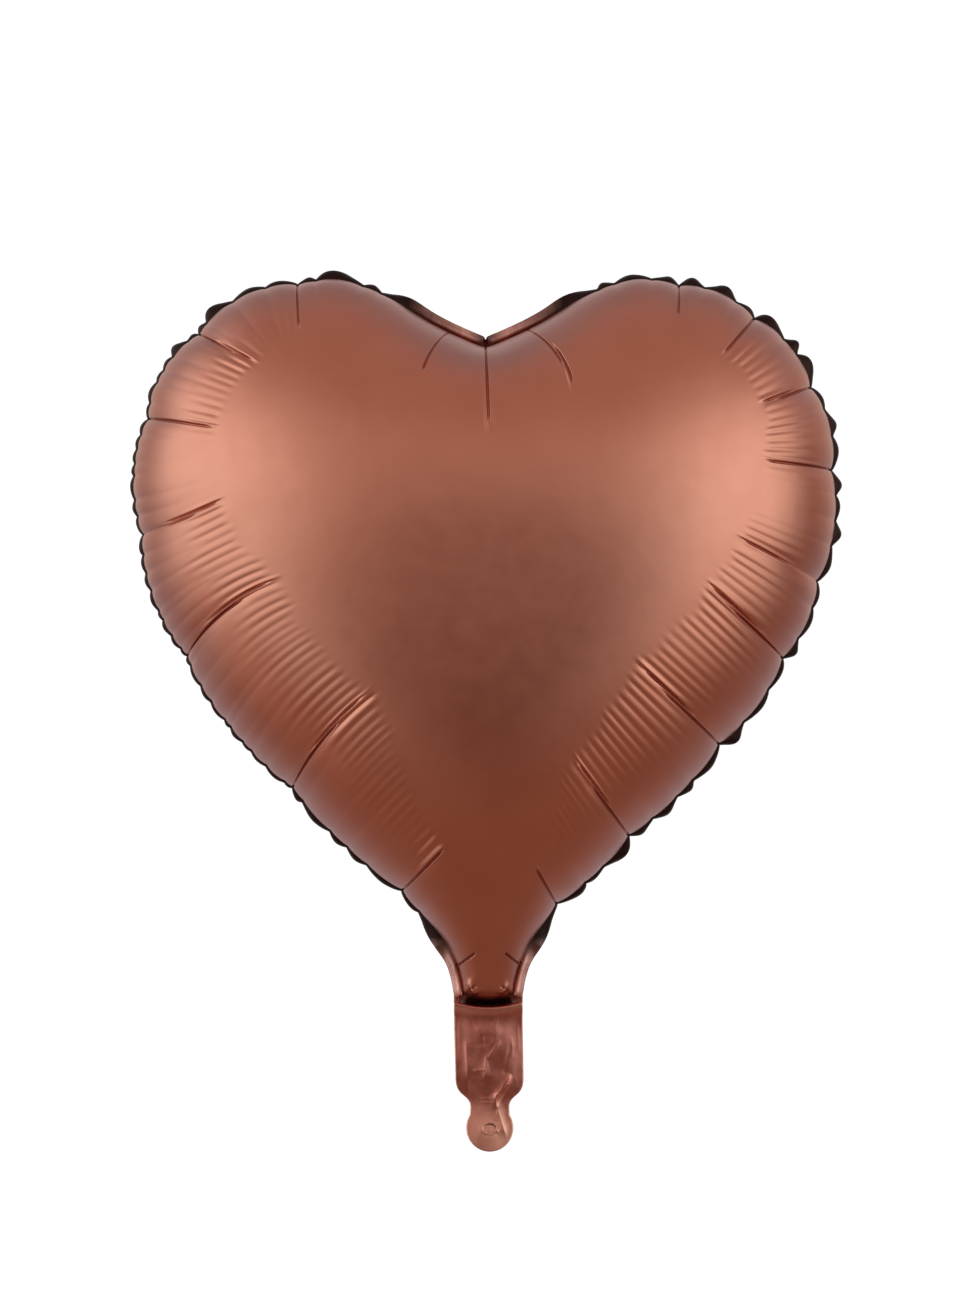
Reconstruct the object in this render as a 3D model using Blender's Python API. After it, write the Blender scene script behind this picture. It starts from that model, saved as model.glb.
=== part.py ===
"""Heart-shaped foil balloon, inflated, with a self-sealing valve in its tail.

Two sheets of metallised film, front and rear, are heat-sealed to each other along a narrow edge weld.
The weld runs on down both sides of the tail and round the tab at its end. A flat tube of clear film lies
in the tail: gas goes in at the port, up the tube, and past two soft lips inside the throat, which the gas
then presses shut.

Metres, +Z up. The origin is the middle of the throat, where the tail creases and where a ribbon is tied.
The front faces -Y. Real film is a few hundredths of a millimetre thick, so each film is drawn thicker.
"""

import math

import bmesh
import bpy
import numpy as np
from mathutils import Vector
from mathutils.geometry import delaunay_2d_cdt

# Envelope
OVERALL_WIDTH = 0.370
LOBE_TOP = 0.3787
CLEFT = 0.3450
THROAT_HALF_WIDTH = 0.0182
THROAT_GAP = 0.0020
EDGE_WELD_WIDTH = 0.0055
FULLNESS = 0.94
POINTS_PER_SIDE = 64
POINTS_ACROSS_THROAT = 5
RIM_ROWS = (0.0012, 0.0038, 0.0080)
GRID_STEP = 0.0150

# Films and the gaps between them
FILM = 0.0005
WELD = 0.0009
CLEARANCE = 0.0003
WELD_LAP = 0.0020
TAIL_FILM = 0.0003
VALVE_FILM = 0.0003
VALVE_HALF_GAP = 0.00015

# Tail
TAIL_HALF_WIDTH = 0.0178
TAIL_STRAIGHT = 0.0390
TAIL_WELD_WIDTH = 0.0030
WAIST = (0.0101, -0.0540)
TAB_CENTRE = -0.0645
TAB_RADIUS = 0.0122
TAB_START_ANGLE = math.radians(32)
TAIL_PUFF = 0.0004
TAIL_BEVEL = 0.0027
PORT_RADIUS = 0.0034
PORT_SIDES = 24

# Valve
VALVE_HALF_WIDTH = 0.0096
VALVE_TUBE_END = -0.0465
LIP_HINGE = 0.0020
LIP_LENGTH = 0.0700
LIP_FLARE = 0.0015


def clear_scene():
    for obj in list(bpy.data.objects):
        bpy.data.objects.remove(obj)


def bezier(points, count):
    """`count` points on a cubic Bezier, without its last one."""
    a, b, c, d = (np.array(p, float) for p in points)
    t = np.linspace(0, 1, count, endpoint=False)[:, None]
    return (1 - t) ** 3 * a + 3 * (1 - t) ** 2 * t * b + 3 * (1 - t) * t**2 * c + t**3 * d


def evenly(points, count):
    """The polyline resampled to `count` points at equal steps."""
    steps = np.linalg.norm(np.diff(points, axis=0), axis=1)
    along = np.concatenate([[0], np.cumsum(steps)])
    at = np.linspace(0, along[-1], count)
    return np.stack([np.interp(at, along, points[:, k]) for k in range(2)], axis=1)


def inset(points, distance, first=None, last=None):
    """The polyline moved to its right by `distance`. The end normals can be given."""
    along = np.gradient(points, axis=0)
    along /= np.linalg.norm(along, axis=1)[:, None]
    normals = np.stack([along[:, 1], -along[:, 0]], axis=1)
    for index, normal in ((0, first), (-1, last)):
        if normal is not None:
            normals[index] = normal
    return points + normals * distance


def heart_side():
    """The right side of the balloon's outer edge, as (x, z), from the cleft down to the throat."""
    half = OVERALL_WIDTH / 2
    lobe, widest, flank = (0.084, LOBE_TOP), (half, 0.270), (0.043, 0.050)
    throat = (THROAT_HALF_WIDTH, THROAT_GAP)
    curves = (
        ((0, CLEFT), (0.030, 0.360), (0.055, LOBE_TOP), lobe),
        (lobe, (0.135, LOBE_TOP), (half, 0.327), widest),
        (widest, (0.186, 0.176), (0.114, 0.116), flank),
        (flank, (0.031, 0.039), (THROAT_HALF_WIDTH, 0.020), throat),
    )
    fine = [bezier(curve, 40) for curve in curves]
    return evenly(np.concatenate([*fine, [throat]]), POINTS_PER_SIDE)


def seam_side(width):
    """The heart's side moved inwards by `width`."""
    return inset(heart_side(), width, first=(0, -1), last=(-1, 0))


def seam_loop():
    """The closed line where the inflated films leave the weld: right side, throat, left side."""
    right = seam_side(EDGE_WELD_WIDTH)
    across = np.linspace(right[-1], right[-1] * (-1, 1), POINTS_ACROSS_THROAT + 1)[1:-1]
    return np.concatenate([right, across, (right * (-1, 1))[:0:-1]])


def triangulated(loop):
    """(points, triangles) over the inside of the closed loop, whose own points come first.

    Rows of points follow the loop closely where the sheet will be steep, and a grid fills the middle.
    """
    rows = [(inset(np.vstack([loop, loop[:1]]), depth)[:-1], depth) for depth in RIM_ROWS]
    across, up = GRID_STEP, GRID_STEP * math.sqrt(0.75)
    columns, levels = int(OVERALL_WIDTH / 2 / across) + 1, int(LOBE_TOP / up) + 1
    shifts = [(i + (j % 2) / 2, j) for j in range(levels) for i in range(-columns, columns + 1)]
    rows.append((np.array(shifts) * (across, up), RIM_ROWS[-1] + GRID_STEP / 2))
    points = loop
    for row, depth in rows:
        gaps = np.linalg.norm(row[:, None] - loop[None], axis=2).min(axis=1)
        crowded = np.linalg.norm(row[:, None] - points[None], axis=2).min(axis=1) < depth * 0.2
        points = np.concatenate([points, row[(gaps > depth * 0.96) & ~crowded]])
    edges = [(i, (i + 1) % len(loop)) for i in range(len(loop))]
    made = delaunay_2d_cdt([Vector(p) for p in points], edges, [], 1, 1e-7)
    used, triangles = np.unique(np.array(made[2]), return_inverse=True)
    return np.array([tuple(made[0][i]) for i in used]), triangles.reshape(-1, 3)


def soap_film(points, triangles, fixed):
    """The height that solves -laplace(u) = 1 with u = 0 at the `fixed` points, by linear elements."""
    stiffness = np.zeros((len(points), len(points)))
    load = np.zeros(len(points))
    for triangle in triangles:
        corner = points[triangle]
        edges = np.roll(corner, -1, axis=0) - np.roll(corner, 1, axis=0)
        area = abs(np.linalg.det(corner[1:] - corner[0])) / 2
        stiffness[np.ix_(triangle, triangle)] += edges @ edges.T / (4 * area)
        load[triangle] += area / 3
    free = np.setdiff1d(np.arange(len(points)), fixed)
    height = np.zeros(len(points))
    height[free] = np.linalg.solve(stiffness[np.ix_(free, free)], load[free])
    return height


def inflated(film):
    """Turns the soap film's height into the depth of an inflated sheet that can't stretch.

    On a disc this is the mylar balloon's profile, and on a long strip it is a round tube.
    """
    angle = np.linspace(0, math.pi / 2, 800)
    slope = np.sqrt(np.sin(angle)) / 2
    steps = (slope[1:] + slope[:-1]) / 2 * np.diff(angle)
    depth = np.concatenate([np.cumsum(steps[::-1])[::-1], [0]])
    radius = np.sqrt(1 - np.clip(film / film.max(), 0, 1))
    disc_radius = 2 * math.sqrt(film.max())
    return disc_radius * np.interp(np.arcsin(radius**2), angle, depth)


def material(name, colour, roughness, metallic, alpha=1.0):
    made = bpy.data.materials.new(name)
    made.use_nodes = True
    shader = made.node_tree.nodes["Principled BSDF"]
    shader.inputs["Base Color"].default_value = (*colour, 1)
    shader.inputs["Roughness"].default_value = roughness
    shader.inputs["Metallic"].default_value = metallic
    shader.inputs["Alpha"].default_value = alpha
    return made


def add_object(name, mesh, finish, parent):
    obj = bpy.data.objects.new(name, mesh)
    bpy.context.scene.collection.objects.link(obj)
    obj.data.materials.append(finish)
    obj.parent = parent
    return obj


def add_pivot(name, z):
    """An empty on a joint's axis, at this height."""
    pivot = bpy.data.objects.new(name, None)
    pivot.location.z = z
    bpy.context.scene.collection.objects.link(pivot)
    bpy.context.view_layer.update()
    return pivot


def solidify(obj, thickness, offset):
    made = obj.modifiers.new("Solidify", "SOLIDIFY")
    made.thickness = thickness
    made.offset = offset
    made.use_even_offset = True


def make_panel(name, side, finish, parent):
    """One inflated film. `side` is -1 for the front and 1 for the rear."""
    loop = seam_loop()
    points, triangles = triangulated(loop)
    rim = np.arange(len(loop))
    rim_depth = WELD / 2 + CLEARANCE + FILM
    depth = rim_depth + FULLNESS * inflated(soap_film(points, triangles, rim))
    corners = [(x, side * y, z) for (x, z), y in zip(points, depth)]
    faces = triangles if side > 0 else triangles[:, ::-1]
    mesh = bpy.data.meshes.new(name)
    mesh.from_pydata(corners, [], faces.tolist())
    mesh.update()
    mesh.shade_smooth()
    obj = add_object(name, mesh, finish, parent)
    solidify(obj, FILM, offset=-1)
    return obj


def band_mesh(name, outer, inner):
    """A flat strip in the plane y = 0 between two polylines of equal length, facing the front."""
    count = len(outer)
    corners = [(x, 0, z) for x, z in np.concatenate([outer, inner])]
    quads = [(i, i + 1, count + i + 1, count + i) for i in range(count - 1)]
    mesh = bpy.data.meshes.new(name)
    mesh.from_pydata(corners, [], quads)
    mesh.update()
    return mesh


def both_sides(right):
    """A right side from the cleft down, joined to its mirror image: left throat, cleft, right throat."""
    return np.concatenate([(right * (-1, 1))[:0:-1], right])


def make_edge_weld(finish, parent):
    """The welded flange round the heart, open at the throat, with a lap under the films' rims."""
    outer = both_sides(heart_side())
    inner = both_sides(seam_side(EDGE_WELD_WIDTH + WELD_LAP))
    obj = add_object("edge_weld", band_mesh("edge_weld", outer, inner), finish, parent)
    solidify(obj, WELD, offset=0)
    return obj


def tail_side():
    """The right side of the tail's edge, as (x, z), from the throat down round the tab to its foot."""
    shoulder = (TAIL_HALF_WIDTH - 0.0002, -TAIL_STRAIGHT)
    curve = (shoulder, (0.0175, -0.0490), (0.0101, -0.0470), WAIST)
    angles = np.linspace(TAB_START_ANGLE, -math.pi / 2, 15)
    tab = np.stack([np.cos(angles), np.sin(angles)], axis=1) * TAB_RADIUS + (0, TAB_CENTRE)
    return np.concatenate([[(TAIL_HALF_WIDTH, 0)], bezier(curve, 8), [WAIST], tab])


def make_tail_film(name, side, finish, parent):
    """One film of the tail: a shallow tray whose rim lies on the tail's weld."""
    right = tail_side()
    outline = np.concatenate([right, (right * (-1, 1))[-2::-1]])
    foot = WELD / 2 + CLEARANCE + TAIL_FILM
    built = bmesh.new()
    corners = [built.verts.new((x, side * foot, z)) for x, z in outline]
    face = built.faces.new(corners if side > 0 else corners[::-1])
    built.normal_update()
    if face.normal.y * side < 0:
        face.normal_flip()
    bmesh.ops.inset_region(
        built,
        faces=[face],
        thickness=TAIL_BEVEL,
        depth=TAIL_PUFF,
        use_boundary=True,
        use_even_offset=True,
    )
    mesh = bpy.data.meshes.new(name)
    built.to_mesh(mesh)
    built.free()
    obj = add_object(name, mesh, finish, parent)
    solidify(obj, TAIL_FILM, offset=-1)
    return obj


def cut_port(film):
    """The round hole in the middle of the tab where the inflator's nozzle goes in."""
    built = bmesh.new()
    bmesh.ops.create_cone(
        built, cap_ends=True, segments=PORT_SIDES, radius1=PORT_RADIUS, radius2=PORT_RADIUS, depth=0.01
    )
    mesh = bpy.data.meshes.new("port_cutter")
    built.to_mesh(mesh)
    built.free()
    cutter = bpy.data.objects.new("port_cutter", mesh)
    bpy.context.scene.collection.objects.link(cutter)
    cutter.rotation_euler.x = math.pi / 2
    cutter.location = (0, 0, TAB_CENTRE)
    cutter.hide_render = True
    cutter.display_type = "WIRE"
    cut = film.modifiers.new("Port", "BOOLEAN")
    cut.object = cutter


def make_tail_weld(finish, parent):
    """The welded edge down both sides of the tail and round the tab, open at the throat."""
    right = tail_side()
    loop = np.concatenate([(right * (-1, 1))[:-1], right[::-1]])
    inner = inset(loop, -TAIL_WELD_WIDTH, first=(-1, 0), last=(1, 0))
    obj = add_object("tail_weld", band_mesh("tail_weld", loop, inner), finish, parent)
    solidify(obj, WELD, offset=0)
    return obj


def make_valve_film(name, side, low, high, flare, finish, parent):
    """One clear film of the valve, from `low` up to `high`, its top corners cut back by `flare`."""
    near, far = side * VALVE_HALF_GAP, side * (VALVE_HALF_GAP + VALVE_FILM)
    top = VALVE_HALF_WIDTH - flare
    outline = [
        (-VALVE_HALF_WIDTH, low),
        (VALVE_HALF_WIDTH, low),
        (VALVE_HALF_WIDTH, high - flare),
        (top, high),
        (-top, high),
        (-VALVE_HALF_WIDTH, high - flare),
    ]
    built = bmesh.new()
    base = parent.location.z
    face = built.faces.new([built.verts.new((x, near, z - base)) for x, z in outline])
    raised = bmesh.ops.extrude_face_region(built, geom=[face])
    for vertex in (v for v in raised["geom"] if isinstance(v, bmesh.types.BMVert)):
        vertex.co.y = far
    bmesh.ops.recalc_face_normals(built, faces=built.faces)
    mesh = bpy.data.meshes.new(name)
    built.to_mesh(mesh)
    built.free()
    return add_object(name, mesh, finish, parent)


def build():
    clear_scene()
    foil = material("copper_foil", (0.36, 0.115, 0.065), 0.34, 1.0)
    weld = material("welded_edge", (0.10, 0.035, 0.025), 0.42, 1.0)
    clear = material("clear_film", (0.82, 0.85, 0.86), 0.18, 0.0, alpha=0.4)

    envelope = add_pivot("envelope", 0)
    tail = add_pivot("tail", 0)
    front_lip = add_pivot("front_lip", LIP_HINGE)
    rear_lip = add_pivot("rear_lip", LIP_HINGE)

    make_panel("front_panel", -1, foil, envelope)
    make_panel("rear_panel", 1, foil, envelope)
    make_edge_weld(weld, envelope)

    cut_port(make_tail_film("tail_front_film", -1, foil, tail))
    make_tail_film("tail_rear_film", 1, foil, tail)
    make_tail_weld(weld, tail)
    make_valve_film("valve_tube_front", -1, VALVE_TUBE_END, 0, 0, clear, tail)
    make_valve_film("valve_tube_rear", 1, VALVE_TUBE_END, 0, 0, clear, tail)

    lip_top = LIP_HINGE + LIP_LENGTH
    make_valve_film("valve_lip_front", -1, LIP_HINGE, lip_top, LIP_FLARE, clear, front_lip)
    make_valve_film("valve_lip_rear", 1, LIP_HINGE, lip_top, LIP_FLARE, clear, rear_lip)


build()
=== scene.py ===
"""The looks of an inflated heart-shaped foil balloon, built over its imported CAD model.

Metres, +Z up. The origin is the middle of the throat, and the front faces -Y. Both inflated films are
made from one rule: a smooth full shape, then the creases, pillows and fine ripples that film has because
it can bend but not stretch. Positions on a film are (along the seam, in from the seam).
"""

import math

import bpy
import numpy as np
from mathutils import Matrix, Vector
from mathutils.geometry import delaunay_2d_cdt


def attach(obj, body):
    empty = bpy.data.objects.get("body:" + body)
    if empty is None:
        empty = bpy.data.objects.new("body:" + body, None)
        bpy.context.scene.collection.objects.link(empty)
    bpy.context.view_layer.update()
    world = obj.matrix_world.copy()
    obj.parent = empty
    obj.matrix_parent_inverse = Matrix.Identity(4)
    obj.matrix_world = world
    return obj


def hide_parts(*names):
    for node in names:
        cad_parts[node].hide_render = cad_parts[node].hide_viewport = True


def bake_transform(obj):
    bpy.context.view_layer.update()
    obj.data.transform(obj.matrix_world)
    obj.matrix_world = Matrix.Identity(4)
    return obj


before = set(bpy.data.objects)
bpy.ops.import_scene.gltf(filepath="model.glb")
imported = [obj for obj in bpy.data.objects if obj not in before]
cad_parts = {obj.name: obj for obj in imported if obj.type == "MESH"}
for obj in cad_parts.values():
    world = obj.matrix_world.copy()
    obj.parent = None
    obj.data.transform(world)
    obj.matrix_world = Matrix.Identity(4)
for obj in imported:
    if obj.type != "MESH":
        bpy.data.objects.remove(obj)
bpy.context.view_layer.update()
scene = bpy.context.scene
DETAIL = 1.0

MM = 0.001

# The outline of the full heart, and the height that parts the cleft's side of it from the throat's
HALF_WIDTH = 0.185
LOBE_TOP = 0.3787
CLEFT = 0.3450
UPPER_PART = 0.3
THROAT_HALF_WIDTH = 0.0182
WELD_WIDTH = 0.0055
# The film's share of a mylar balloon's depth, and its depth at the weld
FULLNESS = 0.94
WELD_HALF = 0.0004
# How far outside the seam the sources of the soap film's height lie
SOURCE_OFFSET = 0.005

# Points on the seam, and mesh steps along it, in from it, and over the film's smooth middle
SEAM_POINTS = 1601
COLUMN_STEP = 0.00100 / DETAIL
ROWS = int(54 * math.sqrt(DETAIL))
MIDDLE_STEP = 0.0045 / math.sqrt(DETAIL)
# Heights and widths of the film's pillows, ripples and creases, and a ridge's distance from its slit
PILLOW = 0.0026
RIPPLE_LENGTH = 0.0047
RIPPLE = 0.00023
SLIT_WIDTH = 0.00046
SLIT_DEPTH = 0.0016
RIDGE = 0.00042
RIDGE_WIDTH = 0.0008
RIDGE_OFFSET = 0.0012
HOLLOW_WIDTH = 0.0016
# The flange: how far it runs in under the films, how much wider it is where it's folded, how far it is
# rolled forward by the cleft and the throat, and how far from those it lies smooth. Its notches: their
# usual spacing on the left flank and elsewhere, and how far they push it aside.
FLANGE_LAP = 0.0022
FLANGE_THICKNESS = 0.0003
FLANGE_ROWS = 14
FLANGE_EXTRA = 0.0006
FLANGE_ROLL = 0.0019
CALM = 0.046
NOTCH_GAPS = (0.0085, 0.0165)
NOTCH_SWAY = 0.0013

# The tail: straight sides from its top, a waist, and a round end tab with the port in it. The gap is the
# least distance of either film's middle from the tail's.
TAIL_HALF_WIDTH = 0.0178
TAIL_TOP = 0.0046
TAIL_STRAIGHT = 0.0390
TAIL_SIDE_LENGTH = 0.100
TAIL_WELD_WIDTH = 0.0030
TAIL_WELD_THICKNESS = 0.0007
TAIL_FILM_THICKNESS = 0.00012
TAIL_FILM_GAP = 0.00047
TAIL_STEP = 0.00042 / DETAIL
WAIST = (0.0101, -0.0540)
TAB_CENTRE = -0.0645
TAB_RADIUS = 0.0122
PORT_HALF = (0.0034, 0.0021)
# The fold under the throat: how much lower it hangs in the middle than at the tail's sides, how deep
# its groove is, and how far the film above it stands forward. The end tab is bent forward too.
FOLD_SAG = 0.0026
FOLD_GROOVE = 0.0052
FOLD_BROW = 0.0017
TAB_BEND = 0.0040

# The valve inside the tail and the throat
VALVE_HALF_WIDTH = 0.0096
VALVE_TUBE_END = -0.0465
LIP_START = 0.0042
LIP_END = 0.0720
CLEAR_THICKNESS = 0.0001

# Main creases, in order from the cleft round the right lobe: where each one meets the seam, where it
# ends and how far in it starts, in millimetres; how deep it is, how strong the ripples after it are and
# how far it bows; and how far along its inner half is shifted where one crease hands over to the next.
CREASES = (
    # seam x, seam z, end x, end z, start, depth, ripples, bow, fork
    (0, 339.5, 1.8, 296, 0, 1, 0.12, 0, 0),
    (21.4, 349, 43, 316, 0, 0.9, 0.08, 0.41, 1.6),
    (100, 370, 98.5, 354, 0, 0.6, 0.2, 0, 0),
    (138, 353, 121.5, 334, 0, 0.8, 0.95, 0, 0),
    (169, 319, 142, 308, 0, 0.8, 1.35, 0, -1.4),
    (181, 276, 143, 279, 0, 1, 0.49, 0, 0),
    (169, 219, 130, 239, 18, 1, 1, 0, 0),
    (153, 179, 114, 213, 0, 1, 1, 0, -1.8),
    (120, 135, 78, 173, 0, 1, 1, 0, -1.8),
    (74.5, 86, 45, 126, 0, 0.9, 0.75, 0, -1.5),
    (38.3, 50, 25.5, 72, 0, 0.8, 0, 0, 0),
    (15, 21.5, 9.8, 27, 0, 1.2, 0, 0, 0),
    (-10.5, 21.5, -5.2, 27, 0, 1.2, 0, 0, 0),
    (-45, 57, -21, 82, 0, 0.9, 1.8, 0, 0),
    (-99, 113, -60, 159, 0, 1, 1.3, 0.2, 1.5),
    (-154.5, 180, -107, 216, 0, 1, 1.7, 0.3, 2),
    (-180, 242, -135, 257, 14, 0.9, 0.1, -0.1, 1.4),
    (-177, 303, -138, 296, 0, 0.9, 1.1, 0, 0),
    (-147, 345, -119, 329, 0, 0.8, 0.45, 0, 1.2),
    (-97, 370, -95, 347, 0, 0.7, 0.1, 0, 0),
    (-19.4, 346, -32.1, 324, 0, 0.8, 0.08, -0.26, 0),
)


def bezier(points, count):
    """`count` points on a cubic Bezier, without its last one."""
    a, b, c, d = (np.array(p, float) for p in points)
    t = np.linspace(0, 1, count, endpoint=False)[:, None]
    return (1 - t) ** 3 * a + 3 * (1 - t) ** 2 * t * b + 3 * (1 - t) * t**2 * c + t**3 * d


def resampled(points, count):
    """A polyline resampled to `count` points at equal steps."""
    steps = np.linalg.norm(np.diff(points, axis=0), axis=1)
    along = np.concatenate([[0], np.cumsum(steps)])
    at = np.linspace(0, along[-1], count)
    return np.stack([np.interp(at, along, points[:, k]) for k in range(points.shape[1])], axis=1)


def ease(x, low, high):
    """0 up to `low`, 1 from `high` on, and an S-curve between them."""
    t = np.clip((x - low) / (high - low), 0, 1)
    return t * t * (3 - 2 * t)


def band(x, rise, fall):
    """0, then up to 1 over the span `rise`, and back to 0 over the span `fall`."""
    return ease(x, *rise) * (1 - ease(x, *fall))


def hump(x, width):
    """A rounded bump, 1 at x = 0."""
    return np.exp(-((x / width) ** 2))


def circle(angles):
    return np.stack([np.cos(angles), np.sin(angles)], axis=1)


def unit(vectors):
    return vectors / np.linalg.norm(vectors, axis=1)[:, None]


def turned(vectors):
    """Vectors turned a quarter turn clockwise, as seen from the front."""
    return np.stack([vectors[..., 1], -vectors[..., 0]], axis=-1)


def gap_to(loop, points):
    """The distance from each point to the nearest point of a loop."""
    gaps = []
    for part in np.array_split(points, 20):
        gaps.append(np.linalg.norm(part[:, None] - loop[None], axis=2).min(axis=1))
    return np.concatenate(gaps)


def grid_quads(rows, count, joined=None):
    """Quads between rows of `count` points, after each place in `joined`, or after all but the last."""
    pairs = [(i, (i + 1) % count) for i in (range(count - 1) if joined is None else joined)]
    return [
        (row * count + i, (row + 1) * count + i, (row + 1) * count + j, row * count + j)
        for row in range(rows - 1)
        for i, j in pairs
    ]


def drift(z):
    """How far the throat and the tail lean to the right."""
    return 0.0014 * ease(-z, -0.075, -0.025) + 0.0008 * ease(-z, 0.0, 0.055)


def heart_side():
    """The right side of the outer edge, from the cleft down to the throat."""
    lobe, widest, flank = (0.084, LOBE_TOP), (HALF_WIDTH, 0.270), (0.043, 0.050)
    throat = (THROAT_HALF_WIDTH, 0.002)
    curves = (
        ((0, CLEFT), (0.031, 0.3565), (0.056, 0.3775), lobe),
        (lobe, (0.139, LOBE_TOP), (HALF_WIDTH, 0.333), widest),
        (widest, (0.186, 0.176), (0.114, 0.116), flank),
        (flank, (0.031, 0.039), (THROAT_HALF_WIDTH, 0.020), throat),
    )
    fine = [bezier(curve, 200) for curve in curves]
    return resampled(np.concatenate([*fine, [throat]]), 600)


class Seam:
    """The closed line where the inflated films leave the weld, measured along its own length.

    It starts at the cleft, runs round the right lobe to the throat, and back up the left side.
    """

    def __init__(self):
        outer = heart_side()
        side = outer + turned(unit(np.gradient(outer, axis=0))) * WELD_WIDTH
        first = math.atan2(side[0, 1] - CLEFT, side[0, 0])
        turn = np.linspace(-math.pi / 2, first, 9)[:-1]
        corner = circle(turn) * WELD_WIDTH + (0, CLEFT)
        side = np.concatenate([corner, side[side[:, 1] > 0.0065]])
        end = side[-1]
        turn = np.linspace(0, math.pi / 2, 9)[1:]
        wide, high = 0.006, 0.0053
        curl = circle(-turn) * (wide, high) + end - (wide, 0)
        half = np.concatenate([side, curl, [(0, curl[-1, 1] - 0.0008)]])
        loop = np.concatenate([half, (half * (-1, 1))[-2::-1]])
        self.points = resampled(loop, SEAM_POINTS)
        self.points[:, 0] += drift(self.points[:, 1])
        steps = np.linalg.norm(np.diff(self.points, axis=0), axis=1)
        self.at = np.concatenate([[0], np.cumsum(steps)])
        self.length = self.at[-1]
        along = np.roll(self.points[:-1], -2, axis=0) - np.roll(self.points[:-1], 2, axis=0)
        along = unit(self.smoothed(along, 3))
        self.inward = turned(np.vstack([along, along[:1]]))
        self.reach = self.smoothed(self.medial()[:-1, None], 12)[:, 0]
        self.reach = np.append(self.reach, self.reach[0])

    def smoothed(self, values, times):
        """Values round the loop, each averaged with its neighbours a number of times."""
        for _ in range(times * 4):
            values = (np.roll(values, 1, axis=0) + 2 * values + np.roll(values, -1, axis=0)) / 4
        return values

    def medial(self):
        """How far in from each point the loop's opposite side gets as near as the point itself."""
        coarse = self.points[:-1:4]
        reach = np.full(len(self.points), 0.15)
        for depth in np.linspace(0.13, 0.002, 80):
            inside = self.points + self.inward * depth
            gap = np.linalg.norm(inside[:, None] - coarse[None], axis=2).min(axis=1)
            reach[gap < depth * 0.985] = depth
        return reach

    def read(self, values, s):
        """Values given at the seam's own points, read at s."""
        return np.stack([np.interp(s, self.at, values[:, k]) for k in range(values.shape[1])], axis=-1)

    def point(self, s):
        return self.read(self.points, s)

    def locate(self, point):
        """How far along the seam its nearest point to `point` lies."""
        gaps = np.linalg.norm(self.points - np.array(point), axis=1)
        return self.at[gaps.argmin()]


seam = Seam()


def wrapped(difference):
    """A distance along the seam, the short way round."""
    return (difference + seam.length / 2) % seam.length - seam.length / 2


def segment(at, s):
    """(index of the last of the places `at` before s, share of the way to the next, gap to the next)."""
    index = (np.searchsorted(at, s, side="right") - 1) % len(at)
    gap = (at[(index + 1) % len(at)] - at[index]) % seam.length
    return index, ((s - at[index]) % seam.length) / gap, gap


class FullShape:
    """The smooth inflated shape: u solves laplace(u) = -1 inside the seam, and is 0 on it."""

    def __init__(self):
        rim = seam.points[:-1:2]
        self.sources = (seam.points - seam.inward * SOURCE_OFFSET)[:-1:4]
        system = np.log(np.linalg.norm(rim[:, None] - self.sources[None], axis=2))
        wanted = (rim**2).sum(axis=1) / 4
        self.strengths = np.linalg.lstsq(system, wanted, rcond=1e-9)[0]
        middle = np.stack([np.zeros(60), np.linspace(0.15, 0.30, 60)], axis=1)
        self.top = self.film(middle)[0].max() * 1.02
        angle = np.linspace(0, math.pi / 2, 3000)
        slope = np.sqrt(np.sin(angle)) / 2
        steps = (slope[1:] + slope[:-1]) / 2 * np.diff(angle)
        self.angle = angle
        self.profile = np.concatenate([np.cumsum(steps[::-1])[::-1], [0]])

    def film(self, points):
        """(height, gradient) of the soap film over each point."""
        heights, slopes = [], []
        for start in range(0, len(points), 20000):
            part = points[start : start + 20000]
            apart = part[:, None] - self.sources[None]
            square = (apart**2).sum(axis=2)
            pull = (apart / square[:, :, None]) * self.strengths[:, None]
            heights.append(0.5 * np.log(square) @ self.strengths - (part**2).sum(axis=1) / 4)
            slopes.append(pull.sum(axis=1) - part / 2)
        return np.maximum(np.concatenate(heights), 0), np.concatenate(slopes)

    def depth(self, film):
        """The depth of a full sheet that can't stretch: on a disc this is the mylar balloon's."""
        radius = np.sqrt(1 - np.clip(film / self.top, 0, 1))
        scale = 2 * math.sqrt(self.top) * FULLNESS
        return WELD_HALF + scale * np.interp(np.arcsin(radius**2), self.angle, self.profile)

    def surface(self, points):
        """(depth, outward normal) at each (x, z) point, for the side that bulges towards +Y."""
        film, slope = self.film(points)
        step = self.top * 1e-4
        change = self.depth(film + step) - self.depth(np.maximum(film - step, 0))
        rise = change / (step + np.minimum(film, step))
        normal = np.stack([-slope[:, 0] * rise, np.ones(len(points)), -slope[:, 1] * rise], axis=1)
        return self.depth(film), unit(normal)


full = FullShape()


class Creases:
    """The main creases, where the film is gathered. `change` varies their lengths, for the rear film."""

    def __init__(self, change=0.0):
        rows = np.array(CREASES)
        rows[:, [0, 1, 2, 3, 4, 8]] *= MM
        self.s = np.array([seam.locate(row[:2]) for row in rows])
        order = np.argsort(self.s)
        self.s, rows = self.s[order], rows[order]
        start, inward = seam.point(self.s), seam.read(seam.inward, self.s)
        across = -turned(inward)
        run = rows[:, 2:4] - start
        random = np.random.default_rng(7)
        self.reach = (run * inward).sum(axis=1) * (1 + change * random.uniform(-1, 0.6, len(rows)))
        self.slant = (run * across).sum(axis=1) / (run * inward).sum(axis=1)
        self.start, self.depth, self.ripple, self.bow, self.fork = rows[:, 4:].T
        self.ripple = self.ripple * (1 + change * random.uniform(-1, 1, len(rows)))
        self.upper = np.where(start[:, 0] < 0, 1, -1)

    def spread(self, values, s):
        """Values given at the creases, blended along the seam between them."""
        index, share, _ = segment(self.s, s)
        share = ease(share, 0, 1)
        return values[index] * (1 - share) + values[(index + 1) % len(self.s)] * share


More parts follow.
